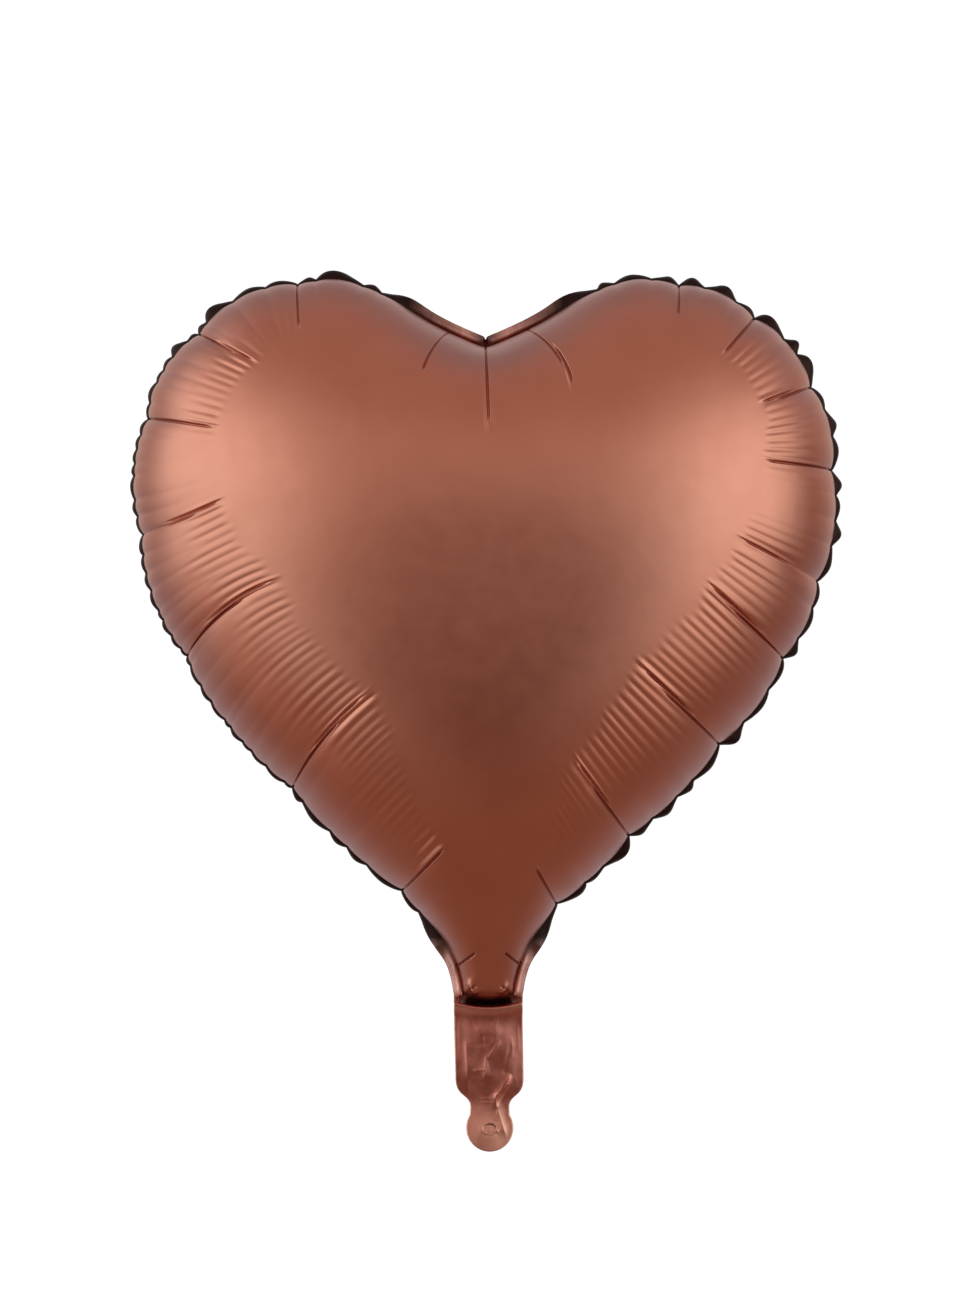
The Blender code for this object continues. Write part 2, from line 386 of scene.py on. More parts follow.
class Notches:
    """Where the welded flange is gathered, and how far it opens out between one place and the next."""

    def __init__(self, creases):
        random = np.random.default_rng(4)
        found = []
        for k, start in enumerate(creases.s):
            gap = (creases.s[(k + 1) % len(creases.s)] - start) % seam.length
            middle = seam.point((start + gap / 2) % seam.length)
            found.append((start, 1.0))
            count = max(1, round(gap / NOTCH_GAPS[0 if self.thin(*middle) else 1]))
            cuts = np.cumsum(random.uniform(0.45, 1.55, count))
            for cut in cuts[:-1] / cuts[-1]:
                at = (start + gap * cut) % seam.length
                if not self.calm(*seam.point(at)):
                    found.append((at, random.uniform(0.25, 0.7)))
        found = np.array(found)
        found = found[np.argsort(found[:, 0])]
        self.at, self.size = found.T
        self.gap = (np.roll(self.at, -1) - self.at) % seam.length
        x, z = seam.point((self.at + self.gap / 2) % seam.length).T
        thin, calm = self.thin(x, z), self.calm(x, z)
        few, many = random.uniform(0.16, 0.42, len(x)), random.uniform(0.34, 0.84, len(x))
        shown = np.where(thin, few, many) * np.minimum(0.40 + self.gap / 0.026, 1)
        self.open = np.where(calm, 1.0, shown)
        shoulder, lower_left = (x > 0.135) & (z > 0.315), (x < -0.03) & (z < 0.13) & ~calm
        self.open = np.where(shoulder, np.maximum(self.open, 0.84), self.open)
        self.open = np.where(lower_left, np.minimum(self.open, 0.46), self.open)
        self.peak = random.uniform(0.30, 0.66, len(x))
        self.swell = np.minimum(np.where(thin, 0.075, 0.035) * self.gap, 0.0010) * ~calm
        x, z = seam.point(self.at).T
        calm = self.calm(x, z)
        self.pinch = np.where(calm, 0.93, random.uniform(0.00, 0.10, len(x)))
        self.size = np.where(calm, 0.15, self.size)
        self.side = random.choice((-1, 1), len(x))

    def thin(self, x, z):
        """The left flank, where the flange shows least."""
        return (x < -0.10) & (z > 0.11) & (z < 0.335)

    def calm(self, x, z):
        """By the throat and in the cleft, where the flange lies smooth."""
        return (z < CALM) | ((np.abs(x) < CALM) & (z > UPPER_PART))

    def sway(self, s):
        """How far the seam is pushed out of its plane."""
        sway = np.zeros_like(s)
        for at, size, side in zip(self.at, self.size, self.side):
            sway += side * size * NOTCH_SWAY * hump(wrapped(s - at), 0.005)
        return sway + 0.0023 * (1 - ease(seam.point(s)[..., 1], 0.0022, 0.0066))

    def tilt(self, s):
        """How far the flange is folded away from the seam's plane, in radians."""
        index, share, _ = segment(self.at, s)
        skewed = share ** (math.log(0.5) / np.log(self.peak[index]))
        pinch = self.pinch[index] * (1 - share) + np.roll(self.pinch, -1)[index] * share
        shown = pinch + np.maximum(self.open[index] - pinch, 0) * np.sin(math.pi * skewed)
        return np.arccos(np.clip(shown, 0, 1))

    def bulge(self, s):
        """The film's own small scallop between one notch and the next."""
        index, share, _ = segment(self.at, s)
        return self.swell[index] * (1 - (2 * share - 1) ** 2)


front_creases = Creases()
rear_creases = Creases(0.22)
notches = Notches(front_creases)


def columns(creases):
    """Positions along the seam, closer together at each crease."""
    fine = np.linspace(0, seam.length, 20001)
    density = np.ones_like(fine)
    for at, fork, reach in zip(creases.s, creases.fork, creases.reach):
        pair = ribbon(creases, at + np.array([-0.0005, 0.0005]), np.full(2, 0.8 * reach))
        fan = np.clip(np.linalg.norm(pair[1] - pair[0]) / 0.001, 1, 8)
        apart = np.maximum(np.abs(wrapped(fine - at - fork / 2)) - abs(fork) / 2, 0)
        density += 4.5 * fan * hump(apart, 0.0015 / math.sqrt(fan))
    total = np.concatenate([[0], np.cumsum((density[1:] + density[:-1]) / 2 * np.diff(fine))])
    count = int(total[-1] / COLUMN_STEP)
    return np.interp(np.linspace(0, total[-1], count, endpoint=False), total, fine)


def pillows(creases, s):
    """How far the film stands out at the seam: convex between two creases, and nipped in at each."""
    _, share, gap = segment(creases.s, s)
    x, z = seam.point(s).T
    throat = 1 - ease(z, 0.015, 0.055)
    cleft = (1 - ease(np.abs(x), 0.022, 0.050)) * (z > UPPER_PART)
    calm = np.maximum(throat, cleft)
    rise = np.clip(0.050 * gap, 0.0003, PILLOW) * (0.75 - np.abs(2 * share - 1) ** 2.4) * (1 - calm)
    for at, size in zip(notches.at, notches.size):
        rise -= 0.0005 * size * np.exp(-np.abs(wrapped(s - at)) / 0.0014)
    return rise


def tuck(creases, k, off, depth):
    """One crease in profile: a narrow slit with a ridge above it that outlasts it, and a hollow below.

    `off` is the distance across the crease, and `depth` the distance in from the seam.
    """
    t = depth / creases.reach[k]
    start = creases.start[k] / creases.reach[k]
    ridge = RIDGE * ease(creases.reach[k], 0.010, 0.028)
    fork = creases.fork[k] * creases.upper[k]
    if fork:
        pieces = ((0.0, start, 0.72), (fork, 0.34, 1.0))
    else:
        pieces = ((0.0, start, 1.0),)
    height = np.zeros_like(off)
    for shift, low, high in pieces:
        if low > 0:
            open_end = ease(t, low - 0.04, low + 0.18)
        else:
            open_end = 0.45 + 0.55 * ease(t, 0, 0.12)
        ridge_run = band(t, (low + 0.10, low + 0.40), (high - 0.03, high + 0.10))
        slit_run = open_end * (1 - ease(t, high - 0.16, high + 0.02))
        x = off * creases.upper[k] - shift
        width = SLIT_WIDTH * (0.85 + 0.5 * np.clip(t, 0, 1))
        height -= SLIT_DEPTH * slit_run * hump(x, width)
        height += ridge * ridge_run * hump(x - RIDGE_OFFSET, RIDGE_WIDTH)
        height -= 0.5 * ridge * ridge_run * hump(x + HOLLOW_WIDTH, HOLLOW_WIDTH)
    return height * creases.depth[k]


def varied(s, random, count, low, high):
    """A value that wanders along the seam, drawn at `count` places."""
    return np.interp(s, np.linspace(0, seam.length, count), random.uniform(low, high, count))


def ripples(creases, s, inner, random):
    """Fine parallel ripples: a band that ends sharply where the creases end, and fades to the rim."""
    index, share, gap = segment(creases.s, s)
    middle = ribbon(creases, s, 0.72 * creases.spread(creases.reach, s))
    stretch = np.linalg.norm(np.roll(middle, -1, axis=0) - middle, axis=1)
    phase = np.concatenate([[0], np.cumsum(stretch[:-1])]) / RIPPLE_LENGTH * 2 * math.pi
    turn = phase + 1.5 * varied(s, random, 80, -1, 1)
    own = random.uniform(0.35, 1.30, int(turn.max() / math.pi / 2) + 4)
    crest = 1 - 2 * (0.5 + 0.5 * np.cos(turn)) ** 1.8
    crest = crest * np.interp(turn / math.pi / 2, np.arange(len(own)), own)
    edge = varied(s, random, 260, -1, 1)
    left = s > seam.length / 2
    start, whole = np.where(left, 0.38, 0.14), np.where(left, 0.72, 0.56)
    rise, fall = (start + 0.16 * edge, whole + 0.1 * edge), (0.96 + 0.05 * edge, 1.05 + 0.05 * edge)
    window = band(inner, rise, fall)
    near = np.exp(-np.minimum(share, 1 - share) * gap / 0.010)
    group = np.where(left, varied(s, random, 70, 0.55, 1.30), 1.0)
    strength = creases.ripple[index]
    gathered = np.where(left, 0.34 + 1.35 * near, 0.75 + 0.5 * near)
    gathered = np.where(strength < 0.5, 3.4 * near, gathered)
    return RIPPLE * strength * group * gathered * crest * window


def relief(creases, s, depth, flat, seed):
    """How far the film stands out from its full shape, at (along the seam, in from the seam)."""
    random = np.random.default_rng(seed)
    inner = depth / creases.spread(creases.reach, s)
    height = pillows(creases, s) * np.clip(1 - inner, 0, 1) ** 1.3
    height = height + notches.bulge(s) * np.exp(-depth / 0.006)
    height = height + ripples(creases, s, inner, random)
    step = np.linalg.norm(np.roll(flat, -1, axis=1) - flat, axis=2)
    spread = int(80 * DETAIL) + 8
    for k, at in enumerate(creases.s):
        centre = np.abs(wrapped(s - at)).argmin()
        near = (np.arange(centre - spread, centre + spread + 1)) % len(s)
        off = np.cumsum(step[:, near], axis=1) - step[:, near]
        off -= off[:, [spread]]
        height[:, near] += tuck(creases, k, off, depth[:, near])
    return height


def ribbon(creases, s, depth):
    """The (x, z) of points on the lines that run in from the seam, which lean as the creases do."""
    start, inward = seam.point(s), seam.read(seam.inward, s)
    across = -turned(inward)
    slant, reach = creases.spread(creases.slant, s), creases.spread(creases.reach, s)
    bow = creases.spread(creases.bow, s)
    lean = depth * (slant + bow * (1 - np.minimum(depth / reach, 1.2)))
    return start + inward * depth[..., None] + across * lean[..., None]


def make_mesh(name, corners, faces):
    mesh = bpy.data.meshes.new(name)
    mesh.from_pydata(np.asarray(corners).tolist(), [], faces)
    mesh.update()
    mesh.shade_smooth()
    obj = bpy.data.objects.new(name, mesh)
    scene.collection.objects.link(obj)
    return obj


def filled(loop, step, clear, hole=None):
    """(points, triangles) inside a closed loop, whose own points come first, round a hole's loop."""
    low, high = loop.min(axis=0), loop.max(axis=0)
    rows = np.arange(low[1], high[1], step * math.sqrt(0.75))
    across = np.arange(low[0] - step, high[0] + step, step)
    grid = np.array([(x + (j % 2) * step / 2, z) for j, z in enumerate(rows) for x in across])
    loops = [loop] if hole is None else [loop, hole]
    for ring in loops:
        grid = grid[gap_to(ring, grid) > clear]
    edges, first = [], 0
    for ring in loops:
        edges += [(first + i, first + (i + 1) % len(ring)) for i in range(len(ring))]
        first += len(ring)
    made = delaunay_2d_cdt([Vector(p) for p in np.concatenate([*loops, grid])], edges, [], 1, 1e-7)
    points = np.array([tuple(p) for p in made[0]])
    triangles = np.array(made[2])
    if hole is not None:
        centre = points[triangles].mean(axis=1) - hole.mean(axis=0)
        half = (hole.max(axis=0) - hole.min(axis=0)) / 2
        triangles = triangles[((centre / half) ** 2).sum(axis=1) > 0.96]
    used, triangles = np.unique(triangles, return_inverse=True)
    triangles = triangles.reshape(-1, 3)
    points = points[used]
    assert np.allclose(points[: len(loop)], loop), "the fill lost its edge"
    a, b, c = (points[triangles[:, k]] for k in range(3))
    turn = (b[:, 0] - a[:, 0]) * (c[:, 1] - a[:, 1]) - (b[:, 1] - a[:, 1]) * (c[:, 0] - a[:, 0])
    triangles[turn < 0] = triangles[turn < 0][:, ::-1]
    return points, triangles


# Puckers in the lower corners of the throat, in millimetres: start, end, half width and height
THROAT_FOLDS = (
    ((-9.2, 12.2), (-4.4, 5.2), 1.4, 1.85),
    ((-6.6, 13), (-3, 7), 0.8, -0.35),
    ((12.5, 11), (6.8, 5.6), 1.3, 1.5),
    ((9.8, 12.4), (5, 7.2), 0.8, -0.3),
)


def make_film(name, side, creases, seed):
    """One inflated film, with its creases, pillows and ripples. `side` is -1 for the front."""
    s = columns(creases)
    count = len(s)
    limit = np.minimum(1.25 * creases.spread(creases.reach, s), 0.72 * np.interp(s, seam.at, seam.reach))
    share = (np.arange(ROWS + 1) / ROWS) ** 1.7
    depth = share[:, None] * limit[None]
    flat = ribbon(creases, np.broadcast_to(s, depth.shape), depth)
    height = relief(creases, s, depth, flat, seed)
    height += folds(flat[..., 0], flat[..., 1], THROAT_FOLDS)
    height *= 1 - ease(share, 0.9, 1.0)[:, None]
    inner, triangles = filled(flat[-1], MIDDLE_STEP, MIDDLE_STEP * 0.55)

    flat = np.concatenate([flat.reshape(-1, 2), inner[count:]])
    outer = height.size
    film, _ = full.film(flat)
    away, normal = full.surface(flat)
    fade = ((1 - share) ** 2)[:, None] * full.film(flat[:count])[0][None]
    away[:outer] = full.depth(np.maximum(film[:outer] - fade.reshape(-1), 0))
    lift = np.zeros(len(flat))
    lift[:outer] = height.reshape(-1)
    place = np.stack([flat[:, 0], away, flat[:, 1]], axis=1) + normal * lift[:, None]
    place[:, 1] *= side
    place[:outer, 1] += (notches.sway(s)[None] * np.exp(-depth / 0.010)).reshape(-1)

    ring = np.arange(count)
    after = np.roll(ring, -1)
    first_row = np.stack([ring, after, count + after, count + ring], axis=1)
    quads = np.concatenate([first_row + k * count for k in range(ROWS)])
    triangles = triangles + ROWS * count
    if side < 0:
        quads = quads[:, ::-1]
    else:
        triangles = triangles[:, ::-1]
    return make_mesh(name, place, quads.tolist() + triangles.tolist())


def make_flange():
    """The flat welded flange outside the seam, folded back at each notch and lying open between them."""
    s = columns(front_creases)
    s = s[seam.point(s)[:, 1] > 0.0046]
    x, z = seam.point(s).T
    rise = pillows(front_creases, s) + notches.bulge(s)
    inward = seam.read(seam.inward, s)
    start = seam.point(s) - inward * rise[:, None]
    flats = 1 - ease(z, 0.018, 0.030)
    cleft = (1 - ease(np.abs(x), 0.020, CALM)) * (z > UPPER_PART)
    tilt = notches.tilt(s) * (1 - flats) * (1 - cleft) + 0.30 * flats
    tilt -= 0.75 * hump(x, 0.0022) * cleft
    rolled = FLANGE_ROLL * np.maximum(flats, cleft * ease(np.abs(x), 0.001, 0.006))
    wide = WELD_WIDTH + FLANGE_EXTRA * (1 - np.maximum(flats, cleft))
    corners = []
    for share in np.linspace(-FLANGE_LAP / WELD_WIDTH, 1, FLANGE_ROWS):
        r = share * wide
        bend = tilt * (0.45 + 0.55 * max(share, 0)) * (share > 0)
        swell = rolled * ease(r, 0, 0.0017) * (1 - 0.8 * ease(r, 0.0020, 0.0056))
        x_out, z_out = (start - inward * (r * np.cos(bend))[:, None]).T
        y = notches.sway(s) + r * np.sin(bend) - swell
        corners.append(np.stack([x_out, y, z_out], axis=1))
    count = len(s)
    joined = [i for i in range(count) if not (z[i] < 0.1 and x[i] > 0 > x[(i + 1) % count])]
    quads = grid_quads(FLANGE_ROWS, count, joined)
    return thicken(make_mesh("weld_flange", np.concatenate(corners), quads), FLANGE_THICKNESS)


def thicken(obj, thickness):
    """Turns a sheet of no thickness into a thin solid, half of it on each side."""
    made = obj.modifiers.new("Solidify", "SOLIDIFY")
    made.thickness = thickness
    made.offset = 0
    bpy.context.view_layer.update()
    mesh = bpy.data.meshes.new_from_object(obj.evaluated_get(bpy.context.evaluated_depsgraph_get()))
    obj.modifiers.clear()
    obj.data = mesh
    return obj


def tail_loop(edge):
    """The tail's outline as a closed loop of (x, z), moved in by `edge`."""
    shoulder = (TAIL_HALF_WIDTH - 0.0002, -TAIL_STRAIGHT)
    curve = (shoulder, (0.0175, -0.0490), (0.0101, -0.0470), WAIST)
    angles = np.linspace(math.radians(32), -math.pi / 2, 60)
    tab = circle(angles) * TAB_RADIUS + (0, TAB_CENTRE)
    right = np.concatenate([[(TAIL_HALF_WIDTH, TAIL_TOP)], bezier(curve, 30), [WAIST], tab])
    right = right + turned(unit(np.gradient(right, axis=0))) * edge
    right = resampled(right, int(TAIL_SIDE_LENGTH / TAIL_STEP))
    right[-1, 0] = 0
    across = np.linspace(right[0] * (-1, 1), right[0], int(2 * TAIL_HALF_WIDTH / TAIL_STEP))[1:-1]
    return np.concatenate([right, (right * (-1, 1))[-2::-1], across])


def line_frame(x, z, start, end):
    """(share of the way along a line, distance to its right) of each point."""
    run = np.subtract(end, start)
    length = np.linalg.norm(run)
    along = ((x - start[0]) * run[0] + (z - start[1]) * run[1]) / length**2
    return along, ((x - start[0]) * run[1] - (z - start[1]) * run[0]) / length


def fold(x, z, start, end, width, height):
    """A sharp crinkle along a line, with sides that fall away over `width`."""
    along, off = line_frame(x, z, start, end)
    ends = band(along, (-0.12, 0.25), (0.75, 1.12))
    return height * ends * np.exp(-(np.hypot(off, 0.00012) - 0.00012) / width)


def folds(x, z, table):
    """All the crinkles of a table in millimetres."""
    return sum(fold(x, z, *(np.multiply(value, MM) for value in row)) for row in table)


def tail_bend(x, z):
    """How far the whole tail's thickness is bent towards the rear, the same for every layer of it."""
    below = ease(-z, 0.003, 0.016)
    curl = 0.0006 * (x / TAIL_HALF_WIDTH) ** 2
    curl = curl + 0.0005 * np.sin(x * 150 + z * 90) - 0.0006 * np.sin(-z * 70)
    along, off = line_frame(x, z, (0.0104, -0.0370), (0.0030, -0.0500))
    facet = band(along, (-0.1, 0.5), (0.9, 1.5)) * ease(off, -0.0030, 0.0002)
    sunk = z + FOLD_SAG * (1 - (x / TAIL_HALF_WIDTH) ** 2)
    groove = FOLD_GROOVE * ease(sunk, 0.0, FOLD_GROOVE)
    brow = FOLD_BROW * hump(np.minimum(sunk, 0), 0.0040) * (1 - ease(sunk, 0.0, 0.0026))
    tab = TAB_BEND * ease(-z, 0.046, 0.078)
    return below * (curl - 0.0009 * facet) + groove - brow - tab


def tail_relief(x, z, side, seed):
    """How far one of the tail's films stands off from the middle of the tail."""
    random = np.random.default_rng(seed)
    edge = gap_to(tail_loop(0), np.stack([x, z], axis=1))
    weld = ease(edge, TAIL_WELD_WIDTH * 0.4, TAIL_WELD_WIDTH * 3.2)
    height = 0.00050 + 0.00040 * weld
    crinkle = np.zeros_like(x)
    for _ in range(30):
        middle = np.array((random.uniform(-0.015, 0.015), random.uniform(-0.070, -0.008)))
        lean = random.normal(0, 0.35) if random.random() < 0.8 else random.normal(1.5, 0.4)
        half = random.uniform(0.003, 0.009) * np.array((math.sin(lean), math.cos(lean)))
        size = random.choice((-1, 1)) * random.uniform(0.00005, 0.00016)
        crinkle += fold(x, z, middle - half, middle + half, random.uniform(0.0010, 0.0022), size)
    crinkle += folds(x, z, TAIL_FOLDS if side < 0 else REAR_TAIL_FOLDS)
    port = np.hypot(x / PORT_HALF[0], (z - TAB_CENTRE) / PORT_HALF[1])
    crinkle += 0.00012 * hump(port - 1.35, 0.30) * (1 if side < 0 else -0.3)
    calm = ease(-z, 0.004, 0.011)
    height += crinkle * calm * (0.30 + 0.70 * weld)
    return np.maximum(height, TAIL_FILM_GAP)


# Crinkles seen on the tail's front, and made up for its rear, set out as the throat's are
TAIL_FOLDS = (
    ((-11.8, -20), (-11.2, -38.5), 1.3, 0.42),
    ((-1.2, -27.5), (-2.6, -39), 1, 0.4),
    ((5.8, -19.5), (-0.5, -28.5), 1, 0.3),
    ((-8.5, -35), (-2, -34.5), 0.8, 0.26),
    ((10.6, -37), (8.8, -43), 1.2, 0.6),
    ((9.2, -42), (3, -48.5), 1.4, 0.75),
    ((3.1, -47), (3.6, -54.5), 1.4, 0.65),
    ((3.4, -53), (8.5, -69), 1.8, 0.7),
    ((-5, -49.3), (2.8, -49.6), 0.4, 0.14),
    ((-5, -51.4), (3, -51.6), 0.4, 0.14),
    ((15, -10), (15.6, -26), 1.2, 0.35),
    ((-15, -8), (-15.4, -30), 1, 0.28),
    ((2, -63), (4, -66.8), 0.8, 0.3),
)
REAR_TAIL_FOLDS = (
    ((10, -15), (8.5, -40), 1.3, 0.45),
    ((-8, -22), (-3, -42), 1.2, 0.45),
    ((-6, -46), (4, -60), 1.6, 0.6),
)


def layer(x, z, y):
    """A point of the tail, with the tail's bend and its slight lean to the right."""
    return np.stack([x + drift(z), y + tail_bend(x, z), z], axis=1)


def make_tail_film(name, side, seed):
    """One crinkled film of the tail. `side` is -1 for the front, which has the port."""
    hole = None
    if side < 0:
        turn = np.linspace(0, 2 * math.pi, 36, endpoint=False)
        hole = circle(turn) * PORT_HALF + (0, TAB_CENTRE)
    points, triangles = filled(tail_loop(0.0002), TAIL_STEP, TAIL_STEP * 0.5, hole)
    x, z = points.T
    if side > 0:
        triangles = triangles[:, ::-1]
    corners = layer(x, z, side * tail_relief(x, z, side, seed))
    return thicken(make_mesh(name, corners, triangles.tolist()), TAIL_FILM_THICKNESS)


def make_tail_weld():
    """The welded edge between the tail's films, down both sides and round the tab."""
    sides = 2 * int(TAIL_SIDE_LENGTH / TAIL_STEP) - 1
    outer, inner = tail_loop(0.0)[:sides], tail_loop(TAIL_WELD_WIDTH)[:sides]
    rows = [outer + (inner - outer) * t for t in np.linspace(0, 1, 5)]
    x, z = np.concatenate(rows).T
    strip = make_mesh("tail_weld_strip", layer(x, z, 0), grid_quads(len(rows), sides))
    return thicken(strip, TAIL_WELD_THICKNESS)


def make_lip(name, side):
    """One soft lip of the valve: clear film that lies against the other lip, inside the throat."""
    across, up = np.linspace(-1, 1, 25), np.linspace(LIP_START, LIP_END, 90)
    share, z = (v.reshape(-1) for v in np.meshgrid(across, up))
    x = share * (VALVE_HALF_WIDTH - 0.0018 * ease(z, LIP_END - 0.004, LIP_END) ** 2)
    wave = 0.00008 * np.sin(z * 420 + 30 * x) + 0.00010 * np.cos(x * 520) * ease(z, 0.01, 0.06)
    mouth = 0.0011 * ease(z, 0.050, LIP_END) * (1 - share**2)
    y = side * (0.00030 + mouth + np.abs(wave))
    corners = np.stack([x + drift(z), y, z], axis=1)
    return thicken(make_mesh(name, corners, grid_quads(len(up), len(across))), CLEAR_THICKNESS)


def make_valve_sheet(name, side):
    """One clear film of the valve's tube, lying between the tail's films and bent as they are."""
    across = np.linspace(-VALVE_HALF_WIDTH, VALVE_HALF_WIDTH, 25)
    down = np.linspace(-0.0002, VALVE_TUBE_END, 60)
    x, z = (v.reshape(-1) for v in np.meshgrid(across, down))
    y = side * (0.00028 + 0.00006 * np.sin(z * 900) * np.cos(x * 160))
    sheet = make_mesh(name, layer(x, z, y), grid_quads(len(down), len(across)))
    return thicken(sheet, CLEAR_THICKNESS)


class Nodes:
    """A node tree, and shorthand for arithmetic on numbers and on its nodes' outputs."""

    def __init__(self, owner):
        owner.use_nodes = True
        self.nodes, self.links = owner.node_tree.nodes, owner.node_tree.links

    def feed(self, socket, value):
        """Links a socket to a node's output, or sets it to a number or a colour."""
        if isinstance(value, bpy.types.NodeSocket):
            self.links.new(value, socket)
        else:
            socket.default_value = (*value, 1) if isinstance(value, tuple) else value

    def math(self, kind, *values):
        node = self.nodes.new("ShaderNodeMath")
        node.operation = kind
        for k, value in enumerate(values):
            self.feed(node.inputs[k], value)
        return node.outputs[0]

    def times(self, first, second):
        return self.math("MULTIPLY", first, second)


class Finish(Nodes):
    """A Principled material, with noise read in the object's own coordinates."""

    def __init__(self, name, metallic, coat, coat_roughness):
        self.material = bpy.data.materials.new(name)
        super().__init__(self.material)
        self.shader = self.nodes["Principled BSDF"]
        self.set("Metallic", metallic)
        self.set("Coat Weight", coat)
        self.set("Coat Roughness", coat_roughness)
        self.place = self.nodes.new("ShaderNodeTexCoord").outputs["Object"]

    def noise(self, scale, detail=2.0, stretch=(1, 1, 1)):
        """Noise with `scale` cells to the metre."""
        mapping = self.nodes.new("ShaderNodeMapping")
        self.links.new(self.place, mapping.inputs["Vector"])
        mapping.inputs["Scale"].default_value = stretch
        node = self.nodes.new("ShaderNodeTexNoise")
        node.inputs["Scale"].default_value = scale
        node.inputs["Detail"].default_value = detail
        self.links.new(mapping.outputs[0], node.inputs["Vector"])
        return node.outputs["Fac"]

    def span(self, value, low, high, from_low=0.3, from_high=0.7):
        """A value mapped to low..high; noise mostly lies between 0.3 and 0.7."""
        node = self.nodes.new("ShaderNodeMapRange")
        sockets = ("From Min", "From Max", "To Min", "To Max")
        for socket, number in zip(sockets, (from_low, from_high, low, high)):
            node.inputs[socket].default_value = number
        self.links.new(value, node.inputs["Value"])
        return node.outputs["Result"]

    def mix(self, share, first, second):
        """The first colour where share is 0, and the second where it is 1."""
        node = self.nodes.new("ShaderNodeMix")
        node.data_type = "RGBA"
        self.links.new(share, node.inputs["Factor"])
        self.feed(node.inputs[6], first)
        self.feed(node.inputs[7], second)
        return node.outputs[2]

    def coordinate(self, axis):
        """One of the object's coordinates, such as "Z"."""
        node = self.nodes.new("ShaderNodeSeparateXYZ")
        self.links.new(self.place, node.inputs[0])
        return node.outputs[axis]

    def set(self, socket, value):
        self.feed(self.shader.inputs[socket], value)

    def bump(self, *layers):
        """Adds layers of (noise, height in metres), the first one deepest."""
        before = None
        for value, distance in layers:
            node = self.nodes.new("ShaderNodeBump")
            node.inputs["Distance"].default_value = distance
            self.links.new(value, node.inputs["Height"])
            if before is not None:
                self.links.new(before, node.inputs["Normal"])
            before = node.outputs["Normal"]
        self.set("Normal", before)


def satin_foil():
    """The heart's film: satin rose copper with faint mottling and a fine grain."""
    made = Finish("satin_foil", metallic=1.0, coat=0.45, coat_roughness=0.36)
    mottle = made.span(made.noise(38, 3.0), 0, 1)
    made.set("Base Color", made.mix(mottle, (0.440, 0.135, 0.079), (0.462, 0.147, 0.088)))
    made.set("Roughness", made.span(made.noise(90, 4.0), 0.275, 0.325))
    made.bump((made.noise(55, 2.0), 0.00014), (made.noise(1500, 2.0), 0.000006))
    return made.material


def tail_foil():
    """The same film with no gas behind it, which is glossier and finely crinkled, with painted light on
    its colour: a lighter end tab, a painted highlight on the brow under the throat's fold, and painted
    shade in that fold's groove.
    """
    made = Finish("tail_foil", metallic=1.0, coat=0.6, coat_roughness=0.22)
    mottle = made.span(made.noise(160, 3.0), 0, 1)
    foil = made.mix(mottle, (0.432, 0.118, 0.079), (0.462, 0.135, 0.092))
    # Painted light: the bent end tab is coloured lighter than the rest of the film.
    tab = made.span(made.coordinate("Z"), 1, 0, -0.062, -0.046)
    foil = made.mix(tab, foil, (0.545, 0.202, 0.132))
    # Painted highlight: a lighter strip on the brow just under the fold's groove.
    x = made.math("DIVIDE", made.coordinate("X"), TAIL_HALF_WIDTH)
    sag = made.times(made.times(x, x), FOLD_SAG)
    sunk = made.math("SUBTRACT", made.coordinate("Z"), sag)
    above, below = made.span(sunk, 1, 0, -0.0034, -0.0026), made.span(sunk, 0, 1, -0.0068, -0.0042)
    brow = made.times(made.times(below, above), 0.75)
    foil = made.mix(brow, foil, (0.600, 0.235, 0.160))
    # Painted shade: the film is coloured dark in the groove of the fold under the throat.
    groove = made.span(sunk, 0, 1, -0.0024, -0.0006)
    made.set("Base Color", made.mix(groove, foil, (0.190, 0.085, 0.062)))
    made.set("Roughness", made.span(made.noise(240, 4.0), 0.20, 0.34))
    made.bump((made.noise(200, 1.0, (1, 1, 0.45)), 0.00007))
    return made.material


def welded_foil():
    """The flange: its copper film painted nearly black round the heart as painted shade, and left copper
    by the cleft and the throat, with painted shade at the cleft's point.
    """
    made = Finish("welded_foil", metallic=1.0, coat=0.04, coat_roughness=0.4)
    x, z = made.math("ABSOLUTE", made.coordinate("X")), made.coordinate("Z")
    throat = made.span(z, 1, 0, 0.014, 0.034)
    top = made.span(z, 0, 1, 0.30, 0.32)
    cleft = made.times(made.span(x, 0.85, 0, 0.010, 0.040), top)
    # Painted shade: the flange is darker again right at the cleft's point.
    cleft = made.times(made.span(x, 0.25, 1, 0.0030, 0.0085), cleft)
    streak = made.span(made.noise(420, 2.0, (1, 1, 0.3)), 0.75, 1.1)
    copper = made.times(made.math("MAXIMUM", throat, cleft), streak)
    # The near-black colour is painted shade over the flange's own copper colour.
    made.set("Base Color", made.mix(copper, (0.023, 0.009, 0.007), (0.600, 0.265, 0.210)))
    made.set("Roughness", made.span(made.noise(300, 3.0), 0.34, 0.48))
    made.bump((made.noise(700, 2.0), 0.00010), (made.noise(1800, 1.0), 0.00001))
    return made.material


def clear_film():
    """The valve's clear polyethylene film, with faint waves from its rolling."""
    made = Finish("clear_film", metallic=0.0, coat=0.0, coat_roughness=0.1)
    made.set("Base Color", made.mix(made.noise(60), (0.80, 0.84, 0.85), (0.86, 0.88, 0.88)))
    made.set("Roughness", made.span(made.noise(140, 3.0), 0.12, 0.24))
    made.set("Alpha", made.span(made.noise(90, 2.0), 0.34, 0.46))
    made.bump((made.noise(220, 2.0, (1, 1, 0.15)), 0.00008))
    return made.material


FOIL, TAIL_FOIL, WELD_FOIL, CLEAR = satin_foil(), tail_foil(), welded_foil(), clear_film()


def finish_piece(piece, material, node):
    piece.data.materials.append(material)
    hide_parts(node)


